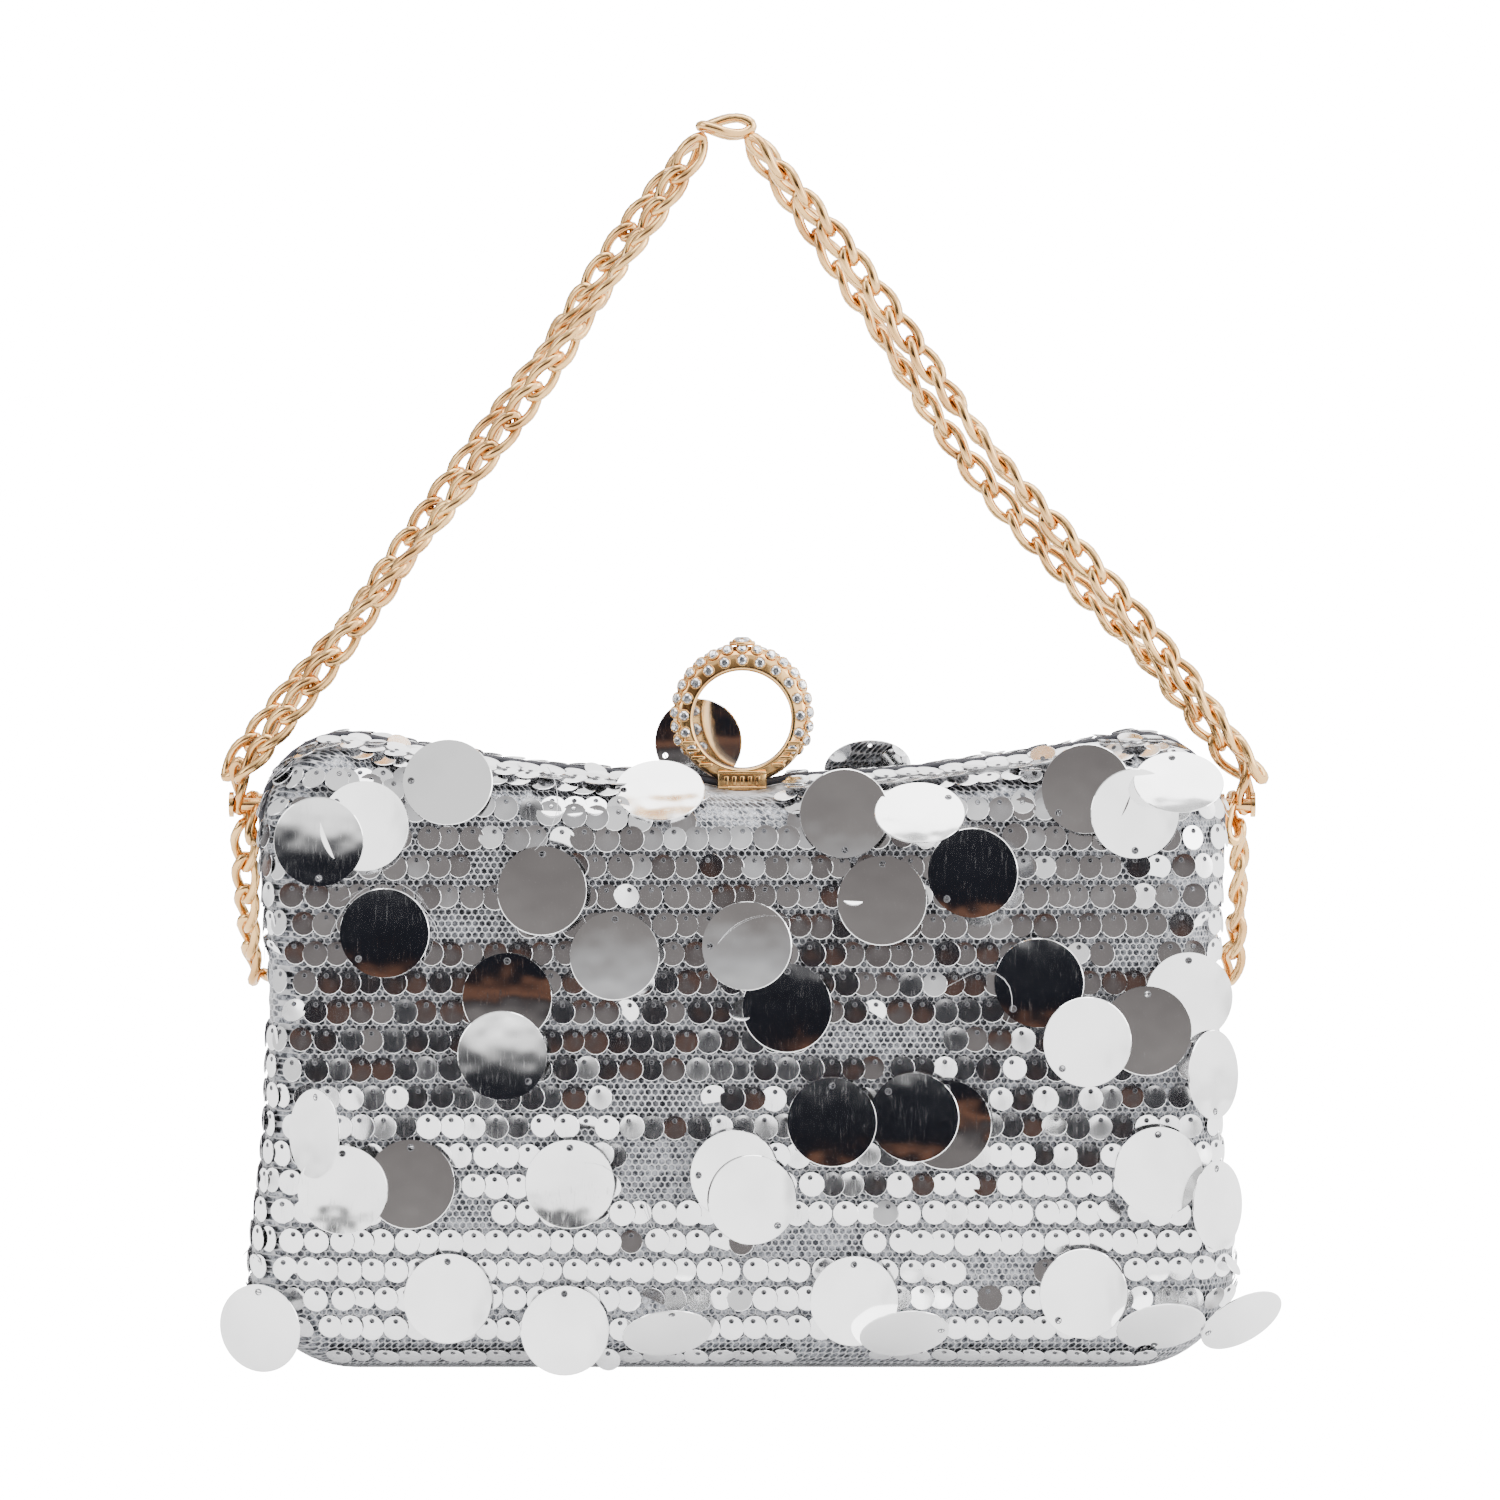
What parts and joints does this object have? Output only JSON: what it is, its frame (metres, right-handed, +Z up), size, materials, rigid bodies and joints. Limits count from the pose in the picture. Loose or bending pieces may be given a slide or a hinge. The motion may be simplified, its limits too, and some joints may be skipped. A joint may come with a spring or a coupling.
{
  "type": "evening bag",
  "caption": "Hard evening clutch in two hinged halves, covered in silver sequins and hanging paillettes, with a crystal finger-ring clasp and a gold chain strap.",
  "frame": {"origin": "middle of the flat base, on the plane where the two halves meet", "axes": "+Z up, +X to the right seen from the front, +Y towards the back; the front faces -Y"},
  "size_m": [0.2161, 0.0656, 0.2523],
  "materials": {
    "silver_cloth": "silver lame under white net",
    "foam": "open foam",
    "shell_plastic": "moulded",
    "lining_cloth": "satin lining",
    "mirror_foil": "metallised film",
    "crystal": "cut crystal",
    "steel": "zinc plated",
    "hinge_brass": "plated",
    "rose_gold": "polished light gold plating"
  },
  "bodies": {
    "back": {"back_cover": "silver_cloth", "back_padding": "foam", "back_shell": "shell_plastic", "back_lining": "lining_cloth", "hinge_leaf_back": "hinge_brass", "hinge_rivets_back": "steel", "hinge_pin": "steel", "hinge_tape": "silver_cloth", "clasp_seat": "hinge_brass", "clasp_seat_screws": "steel", "clasp_pin": "steel", "clasp_spring": "steel", "gusset_left": "lining_cloth", "gusset_right": "lining_cloth", "lining_pocket": "lining_cloth", "strap_stud_left": "rose_gold", "strap_stud_right": "rose_gold", "back_paillettes": "mirror_foil"},
    "front": {"front_cover": "silver_cloth", "front_padding": "foam", "front_shell": "shell_plastic", "front_lining": "lining_cloth", "hinge_leaf_front": "hinge_brass", "hinge_rivets_front": "steel", "clasp_striker": "hinge_brass", "striker_screws": "steel", "front_paillettes": "mirror_foil"},
    "clasp": {"clasp_ring": "rose_gold", "clasp_foot": "rose_gold", "ring_face_crystals": "crystal", "ring_rim_crystals": "crystal", "ring_top_crystal": "crystal"},
    "strap": {"strap_ring_left": "rose_gold", "strap_ring_right": "rose_gold", "strand_left_front": "rose_gold", "strand_left_back": "rose_gold", "strand_right_front": "rose_gold", "strand_right_back": "rose_gold", "peak_link_front": "rose_gold", "peak_link_back": "rose_gold"},
    "loop": {"loop_ring_left": "rose_gold", "loop_ring_right": "rose_gold", "loop_left": "rose_gold", "loop_right": "rose_gold", "loop_behind": "rose_gold"}
  },
  "joints": [
    {"name": "front_opening", "type": "hinge", "parent": "back", "child": "front", "pos_m": [0, 0, 0.0037], "axis": [1, 0, 0], "range_deg": [0, 50], "deforming": ["gusset_left", "gusset_right", "hinge_tape"]},
    {"name": "clasp_tilt", "type": "hinge", "parent": "back", "child": "clasp", "pos_m": [0, 0.0032, 0.1135], "axis": [-1, 0, 0], "range_deg": [0, 20], "stiffness_Nm_per_rad": 0.05, "deforming": ["clasp_spring"]},
    {"name": "strap_swing", "type": "hinge", "parent": "back", "child": "strap", "pos_m": [0, 0.006, 0.113], "axis": [1, 0, 0], "range_deg": [-20, 20]},
    {"name": "loop_swing", "type": "hinge", "parent": "back", "child": "loop", "pos_m": [0, 0.006, 0.113], "axis": [1, 0, 0], "range_deg": [0, 60]}
  ]
}
